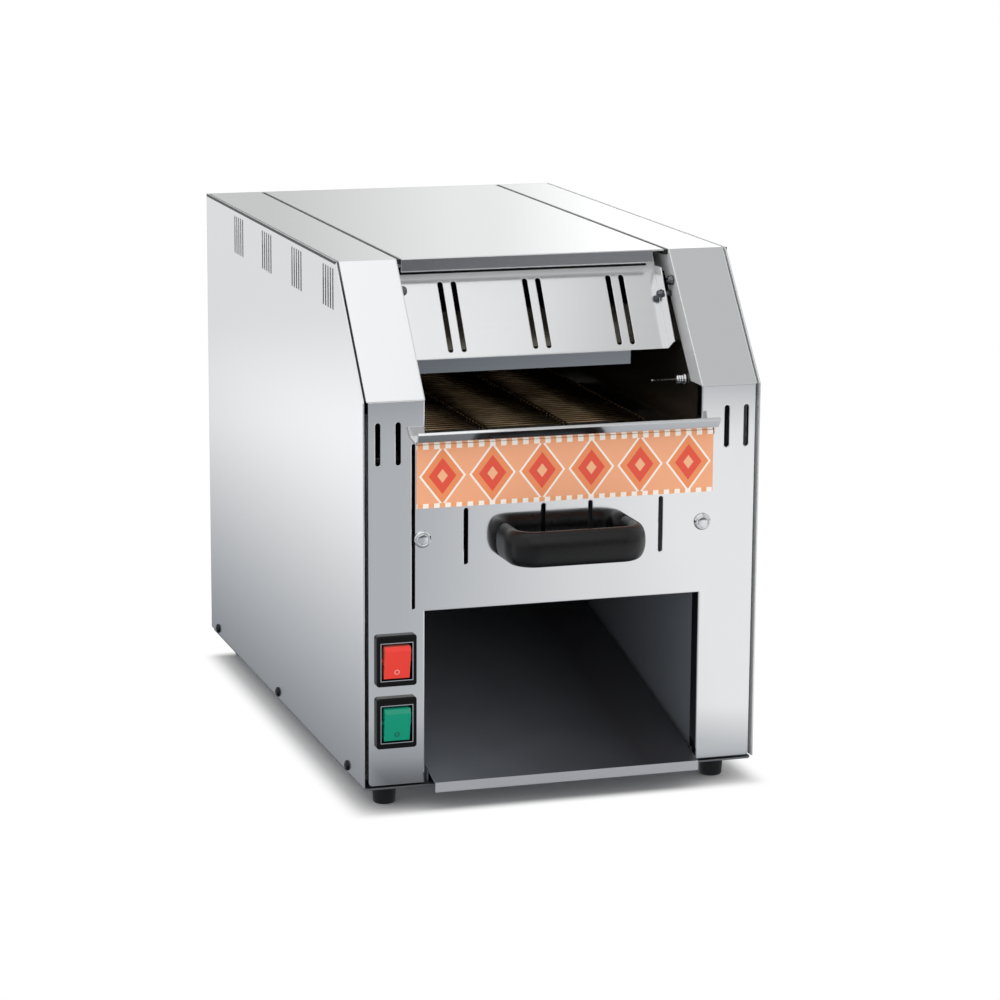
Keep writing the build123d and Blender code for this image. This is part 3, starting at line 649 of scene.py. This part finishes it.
def build_probe():
    # a fitting with three ribs and a thin stem with a small bulb, out of the right wall
    rib_count, first_rib, rib_pitch, rib_end = 3, 2.2, 1.7, 7.4
    bulb_end = 26.0
    fitting = [(4.2, 0.0), (4.2, 1.8), (3.0, 2.0)]
    for rib in range(rib_count):
        start = first_rib + rib * rib_pitch
        fitting += [(2.7, start), (3.4, start + 0.3), (3.4, start + 1.1), (2.7, start + 1.4)]
    fitting += [(2.6, rib_end), (1.6, rib_end + 0.1)]
    stem = [
        (0.6, rib_end), (0.6, bulb_end - 1.4), (0.9, bulb_end - 1.1), (0.9, bulb_end - 0.4),
        (0.5, bulb_end)]
    low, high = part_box("temperature_probe")
    root = (high.x, (low.y + high.y) / 2, (low.z + high.z) / 2)
    turned_set(
        "probe_fitting", "temperature_probe", [(root, (-1, 0, 0))], fitting, screw_metal)
    points, faces = [], []
    turned(points, faces, root, (-1, 0, 0), stem, steps=16)
    make_piece("probe_stem", points, faces, shaft_metal, body_of("temperature_probe"))


def build_feet():
    # tapered rubber feet, one at each corner
    foot_radius = 9.0
    profile = [
        (foot_radius, 0.0), (foot_radius, 1.6), (8.8, 4.0), (8.2, 12.0), (8.0, 15.6), (7.4, 16.7),
        (6.6, 17.0)]
    low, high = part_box("feet")
    centres = [
        ((x, y, high.z), (0, 0, -1))
        for x in (low.x + foot_radius * MM, high.x - foot_radius * MM)
        for y in (low.y + foot_radius * MM, high.y - foot_radius * MM)]
    turned_set("tapered_feet", "feet", centres, profile, foot_rubber)


build_front_screws()
build_side_screws()
build_strip_screws()
build_hood_bolts()
build_probe()
build_feet()


# ---------------------------------------------------------------- seals

def build_hood_shadow_strip():
    # a flat black strip on the hood where the cover's front flange meets it: a painted shadow, a dark
    # sheet standing for the shaded gap below that flange
    left_play, right_play = 1.0 * MM, 9.5 * MM
    below_flange, above_flange = 3.3 * MM, 1.5 * MM
    sunk, thickness = 0.05 * MM, 0.35 * MM
    looks_forward = 0.3
    hood_faces = nodes["hood_plate"].data.polygons
    front_faces = [face for face in hood_faces if face.normal.y < -looks_forward]
    face = max(front_faces, key=lambda each: each.area)
    slope = -face.normal.z / face.normal.y
    points = []
    for x in (cover_low.x + left_play, cover_high.x - right_play):
        for z in (cover_flange_z - below_flange, cover_flange_z + above_flange):
            spot = Vector((x, face.center.y + slope * (z - face.center.z), z))
            points += [spot - face.normal * sunk, spot + face.normal * thickness]
    faces = [(0, 1, 3, 2), (4, 6, 7, 5), (0, 4, 5, 1), (2, 3, 7, 6), (1, 5, 7, 3), (0, 2, 6, 4)]
    # painted shadow: a black strip for the shaded gap under the cover's flange
    make_piece(
        "cover_shadow_strip", points, faces, foot_rubber, body_of("hood_plate"),
        smooth=False)


def long_bar(points, faces, low, high):
    # adds a bar along Y between two corners to the lists, its upper edges slightly chamfered
    chamfer = 0.15 * MM
    base = len(points)
    for y in (low.y, high.y):
        outline = [
            (low.x, low.z), (high.x, low.z), (high.x, high.z - chamfer), (high.x - chamfer, high.z),
            (low.x + chamfer, high.z), (low.x, high.z - chamfer)]
        points += [Vector((x, y, z)) for x, z in outline]
    skin_rings(faces, base, rings=2, sides=len(outline))


def build_roof_seals():
    # black sealant in the joints between the cover and the roof strips, and along the upper
    # edges of the side panels
    joint_depth, joint_drop = 4.0 * MM, 0.4 * MM
    edge_depth, edge_drop = 2.0 * MM, 0.02 * MM
    over_edge, past_edge = 0.5 * MM, 0.3 * MM
    front_play, back_play = 1.0 * MM, 0.5 * MM
    panel_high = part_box("side_panel_right")[1]
    roof_z = cover_high.z
    corners = [vertex.co for vertex in nodes["side_panel_right"].data.vertices]
    roof_corner = min(corner.y for corner in corners if corner.z > roof_z - 0.5 * MM)
    back = cover_high.y - back_play
    points, faces = [], []
    for side in (-1, 1):
        left, right = sorted((side * (cover_high.x + 0.1 * MM), side * (flange_edge - 0.2 * MM)))
        long_bar(
            points, faces, Vector((left, cover_low.y + front_play, roof_z - joint_depth)),
            Vector((right, back, roof_z - joint_drop)))
        left, right = sorted((side * (panel_high.x - over_edge), side * (panel_high.x + past_edge)))
        long_bar(
            points, faces, Vector((left, roof_corner - front_play, roof_z - edge_depth)),
            Vector((right, back, roof_z - edge_drop)))
    make_piece(
        "roof_seals", points, faces, foot_rubber, body_of("top_cover"),
        smooth=False)


build_hood_shadow_strip()
build_roof_seals()


# ---------------------------------------------------------------- handle and switches

def build_handle():
    # a bow swept with a soft-cornered section, as large as its CAD solid
    half_thick = 6.5 * MM
    bend = 14.0 * MM
    squareness = 2.15  # of the section: 2 is an ellipse, more has squarer corners
    bend_steps, sides = 12, 48
    low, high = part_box("handle")
    middle = (low + high) / 2
    half_high = (high.z - low.z) / 2
    half_span = (high.x - low.x) / 2 - half_thick
    front_line = low.y + half_thick
    path = [(Vector((middle.x - half_span, high.y, middle.z)), 0.0)]
    for corner, start in ((-1, 0.0), (1, math.pi / 2)):
        centre = Vector((middle.x + corner * (half_span - bend), front_line + bend, middle.z))
        for step in range(bend_steps + 1):
            turn = start + step / bend_steps * math.pi / 2
            outward = Vector((-math.cos(turn), -math.sin(turn), 0))
            path.append((centre + bend * outward, turn))
    path.append((Vector((middle.x + half_span, high.y, middle.z)), math.pi))
    points, faces = [], []
    for place, turn in path:
        outward = Vector((-math.cos(turn), -math.sin(turn), 0))
        for side in range(sides):
            angle = 2 * math.pi * side / sides
            cosine, sine = math.cos(angle), math.sin(angle)
            out = math.copysign(abs(cosine) ** (2 / squareness), cosine) * half_thick
            rise = math.copysign(abs(sine) ** (2 / squareness), sine) * half_high
            points.append(place + outward * out + Vector((0, 0, rise)))
    skin_rings(faces, 0, len(path), sides)
    bow = make_piece("handle_bow", points, faces, black_phenolic, body_of("handle"))
    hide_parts("handle")


def switch_middle(colour):
    # where the middle of a switch's recess is, across and up
    recess_lift = 0.15 * MM
    frame_low, frame_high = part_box(f"{colour}_switch_frame")
    rocker_low, rocker_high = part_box(f"{colour}_rocker")
    return (frame_low.x + frame_high.x) / 2, (rocker_low.z + rocker_high.z) / 2 + recess_lift


def build_switch_rim(colour):
    # a metallised rim round the recess, on the face of the frame
    rim_half_x, rim_half_z, rim_width = 11.75 * MM, 13.65 * MM, 0.55 * MM
    proud, sunk = 0.15 * MM, 0.3 * MM
    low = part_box(f"{colour}_switch_frame")[0]
    middle_x, middle_z = switch_middle(colour)
    points, faces = [], []
    for y in (low.y - proud, low.y + sunk):
        for inset in (0.0, rim_width):
            half_x, half_z = rim_half_x - inset, rim_half_z - inset
            for x_side, z_side in ((-1, -1), (1, -1), (1, 1), (-1, 1)):
                points.append((middle_x + x_side * half_x, y, middle_z + z_side * half_z))
    # four loops of four corners: front outer and inner, then back outer and inner
    for side in range(4):
        after = (side + 1) % 4
        for loop, next_loop in ((0, 4), (4, 12), (12, 8), (8, 0)):
            faces.append((loop + side, loop + after, next_loop + after, next_loop + side))
    make_piece(
        f"{colour}_switch_rim", points, faces, clear_rim, body_of(f"{colour}_switch_frame"),
        smooth=False)


def build_rocker_mark(colour, material):
    # a closed ring of round section, low on the rocker, that lies half sunk in its face
    ring_radius, section_radius, drop = 1.6, 0.3, 7.2
    ring_steps, section_steps = 24, 6
    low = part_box(f"{colour}_switch_frame")[0]
    middle_x, middle_z = switch_middle(colour)
    start = Vector((middle_x, low.y - 20 * MM, middle_z - drop * MM))
    _, centre, normal, _ = nodes[f"{colour}_rocker"].ray_cast(start, Vector((0, 1, 0)))
    slant = Vector((1, 0, 0)).cross(normal).normalized()
    points, faces = [], []
    for step, outward in enumerate(round_ways(Vector((1, 0, 0)), slant, ring_steps)):
        for part in range(section_steps):
            angle = 2 * math.pi * part / section_steps
            reach = (ring_radius + section_radius * math.cos(angle)) * MM
            rise = section_radius * math.sin(angle) * MM
            points.append(centre + outward * reach + normal * rise)
            after_part = (part + 1) % section_steps
            here, next_ring = step * section_steps, (step + 1) % ring_steps * section_steps
            faces.append((here + part, here + after_part, next_ring + after_part, next_ring + part))
    make_piece(
        f"{colour}_rocker_mark", points, faces, material, body_of(f"{colour}_rocker"))


build_handle()
for colour, mark_material in (("red", pale_mark), ("green", dark_mark)):
    build_switch_rim(colour)
    build_rocker_mark(colour, mark_material)


# ---------------------------------------------------------------- stage, camera and lamps

WHITE = linear("#ffffff")


def white_ways(tree):
    # a light path's share of mirror-like and see-through rays, and of camera rays
    path = add(tree, "LightPath").node.outputs
    mirrored = add(
        tree, "Math", [path["Is Glossy Ray"], path["Is Transmission Ray"]], operation="MAXIMUM")
    return mirrored, path["Is Camera Ray"]


def painted_floor_in_metal(tree, place):
    # the painted brightness that the floor shows in metal at a place: pale, with painted shade falling
    # off to the left, a painted shadow close by, and darker far away; each step has two limits in
    # metres and the brightness or share there
    left_lane, right_lane = (-0.13, 0.04, 0.58, 0.88), (0.06, 0.14, 0.0, 0.12)
    lane_origin, lane_slant = 0.2245, 0.31
    close_by, far_away = (0.36, 0.46, 0.7, 1.02), (1.6, 2.3, 1.0, 0.2)
    at_the_front, front_of_columns = (0.27, 0.35, 0.12, 1.0), (0.108, 0.126, 0.0, 0.05)
    near_the_side, off_the_side = (0.15, 0.27, 0.32, 0.66), (0.27, 0.48, 0.0, 0.52)
    far_behind = (1.2, 1.9, 1.0, 0.76)
    front_to_side = (-0.32, -0.2, 0.0, 1.0)

    x, y, _ = add(tree, "SeparateXYZ", [place]).node.outputs
    beside = add(tree, "Math", [x], operation="ABSOLUTE")
    reach = add(tree, "VectorMath", [place], "Value", operation="LENGTH")
    lane = add(tree, "Math", [y, lane_origin], operation="ADD")
    lane = add(tree, "Math", [lane, lane_slant, x], operation="MULTIPLY_ADD")
    ahead = add(tree, "MapRange", [beside, *front_of_columns])
    ahead = add(tree, "Math", [ahead, y], operation="SUBTRACT")

    front_tone = add(tree, "Math", [
        add(tree, "MapRange", [lane, *left_lane]), add(tree, "MapRange", [lane, *right_lane])],
        operation="ADD")
    for distance, step in ((reach, close_by), (ahead, at_the_front), (reach, far_away)):
        share = add(tree, "MapRange", [distance, *step])
        front_tone = add(tree, "Math", [front_tone, share], operation="MULTIPLY")
    side_tone = add(tree, "Math", [
        add(tree, "MapRange", [beside, *near_the_side]),
        add(tree, "MapRange", [beside, *off_the_side])],
        operation="ADD")
    share = add(tree, "MapRange", [y, *far_behind])
    side_tone = add(tree, "Math", [side_tone, share], operation="MULTIPLY")
    side_share = add(tree, "MapRange", [y, *front_to_side])
    return add(tree, "MapRange", [side_share, 0.0, 1.0, front_tone, side_tone])


def build_floor():
    # white paper that keeps the shadow near the object and runs into pure white round it
    shadow_half_x, shadow_half_y, fade = 142 * MM, 222 * MM, 18 * MM
    half_floor = 8.0
    material, tree, shader = start_material("white_sweep")
    tree.nodes.remove(shader)
    place = add(tree, "NewGeometry", output="Position")
    x, y, _ = add(tree, "SeparateXYZ", [place]).node.outputs
    past = []
    for distance, half in ((x, shadow_half_x), (y, shadow_half_y)):
        distance = add(tree, "Math", [distance], operation="ABSOLUTE")
        distance = add(tree, "Math", [distance, half], operation="SUBTRACT")
        past.append(add(tree, "Math", [distance, 0.0], operation="MAXIMUM"))
    outside = add(tree, "CombineXYZ", past)
    outside = add(tree, "VectorMath", [outside], "Value", operation="LENGTH")
    white_share = add(
        tree, "MapRange", [outside, 0.0, fade, 0.0, 1.0], interpolation_type="SMOOTHSTEP")

    # for mirror-like rays the floor glows with a painted reflection instead of lit paper: painted shade
    # falls off to the left and a painted shadow lies close to the object, tinted blue where it is
    # darker
    mirrored, seen = white_ways(tree)
    painted_floor_tone = painted_floor_in_metal(tree, place)
    pale_share = add(tree, "MapRange", [painted_floor_tone, 0.4, 1.0, 0.0, 1.0])
    colours = {SHARE: pale_share, FIRST: linear("#f0f4fb"), SECOND: WHITE}
    painted_glow_colour = add(tree, "Mix", colours, MIXED, data_type="RGBA")
    paper = add(tree, "BsdfDiffuse", {"Color": linear("#fbfbfb")})
    white = add(tree, "Emission", {"Color": WHITE, "Strength": 1.0})
    painted_floor_glow = add(tree, "Emission", {"Color": painted_glow_colour, "Strength": painted_floor_tone})
    seen_white = add(tree, "Math", [seen, white_share], operation="MULTIPLY")
    for_camera = add(tree, "MixShader", [seen_white, paper, white])
    surface = add(tree, "MixShader", [mirrored, for_camera, painted_floor_glow])
    feed(tree.nodes["Material Output"], {"Surface": surface})

    mesh = bpy.data.meshes.new("floor")
    corners = [(-half_floor, -half_floor, 0), (half_floor, -half_floor, 0)]
    corners += [(half_floor, half_floor, 0), (-half_floor, half_floor, 0)]
    mesh.from_pydata(corners, [], [(0, 1, 2, 3)])
    mesh.materials.append(material)
    floor = bpy.data.objects.new("floor", mesh)
    bpy.context.scene.collection.objects.link(floor)


def build_world():
    # an even studio: white where the camera looks past the object; metal sees a pale wall
    # behind the object that brightens to the right, bright walls at both sides, and a dim
    # room in front; each step has two limits of a direction's share and the values there
    wall_rise, wall_end = (0.235, 0.287, 0.64, 0.92), (0.30, 0.335, 0.0, 0.32)
    wall_height, wall_depth = (0.28, 0.48, 1.0, 0.0), (-0.1, 0.3, 0.0, 1.0)
    room_height, room_depth = (0.08, 0.2, 1.0, 0.0), (-0.4, -0.1, 1.0, 0.0)
    side_limits = (0.45, 0.65, 0.0, 1.0)
    ceiling_tone, room_tone, side_tone, light_level = 0.62, 0.25, 0.9, 0.8

    world = bpy.data.worlds.new("white_studio")
    bpy.context.scene.world = world
    world.use_nodes = True
    tree = world.node_tree
    way = add(tree, "TexCoord", output="Generated")
    x, y, z = add(tree, "SeparateXYZ", [way]).node.outputs
    wall_tone = add(tree, "Math", [
        add(tree, "MapRange", [x, *wall_rise]), add(tree, "MapRange", [x, *wall_end])],
        operation="ADD")
    behind = add(tree, "Math", [
        add(tree, "MapRange", [z, *wall_height]), add(tree, "MapRange", [y, *wall_depth])],
        operation="MULTIPLY")
    before = add(tree, "Math", [
        add(tree, "MapRange", [z, *room_height]), add(tree, "MapRange", [y, *room_depth])],
        operation="MULTIPLY")
    aside = add(tree, "Math", [x], operation="ABSOLUTE")
    aside = add(tree, "MapRange", [aside, *side_limits])
    in_metal = add(tree, "MapRange", [behind, 0.0, 1.0, ceiling_tone, wall_tone])
    in_metal = add(tree, "MapRange", [before, 0.0, 1.0, in_metal, room_tone])
    in_metal = add(tree, "MapRange", [aside, 0.0, 1.0, in_metal, side_tone])
    mirrored, seen = white_ways(tree)
    strength = add(tree, "MapRange", [mirrored, 0.0, 1.0, light_level, in_metal])
    strength = add(tree, "MapRange", [seen, 0.0, 1.0, strength, 1.0])
    feed(tree.nodes["Background"], {"Color": WHITE, "Strength": strength})


def soft_box(name, centre, tilt, size_x, size_y, radiance):
    # an area lamp given by how bright its face looks in front of the world, which shows
    # through it; at tilt 0 it faces straight down
    lamp = bpy.data.lights.new(name, "AREA")
    lamp.shape = "RECTANGLE"
    lamp.size = size_x
    lamp.size_y = size_y
    lamp.energy = radiance * math.pi * size_x * size_y
    holder = bpy.data.objects.new(name, lamp)
    holder.location = centre
    holder.rotation_euler = (math.radians(tilt), 0, 0)
    bpy.context.scene.collection.objects.link(holder)


def build_camera():
    # from the front left and a little above, through a long lens, with a slight lean
    place = Vector((-0.73497, -2.38933, 0.70486))
    turn, dip, lean = math.radians(17.6311), math.radians(12.0923), math.radians(0.3571)
    forward = Vector((
        math.sin(turn) * math.cos(dip), math.cos(turn) * math.cos(dip), -math.sin(dip)))
    right = Vector((math.cos(turn), -math.sin(turn), 0))
    up = right.cross(forward)
    leaning_right = math.cos(lean) * right + math.sin(lean) * up
    leaning_up = -math.sin(lean) * right + math.cos(lean) * up
    data = bpy.data.cameras.new("camera")
    data.sensor_width = 36
    data.lens = 121.02
    data.clip_start = 0.1
    camera = bpy.data.objects.new("camera", data)
    turned_frame = Matrix((leaning_right, leaning_up, -forward)).transposed().to_4x4()
    camera.matrix_world = Matrix.Translation(place) @ turned_frame
    bpy.context.scene.collection.objects.link(camera)
    bpy.context.scene.camera = camera


build_floor()
build_world()
soft_box(
    "overhead_softbox", centre=(-0.55, -0.3, 2.0), tilt=0, size_x=2.1, size_y=1.8, radiance=0.56)
soft_box(
    "forward_softbox", centre=(-0.43, -1.55, 2.0), tilt=0, size_x=2.3, size_y=0.7, radiance=0.46)
soft_box(
    "front_softbox", centre=(-0.2, -3.2, 1.9), tilt=72, size_x=3.0, size_y=2.2, radiance=0.6)
build_camera()
bpy.context.scene.view_settings.view_transform = "Standard"
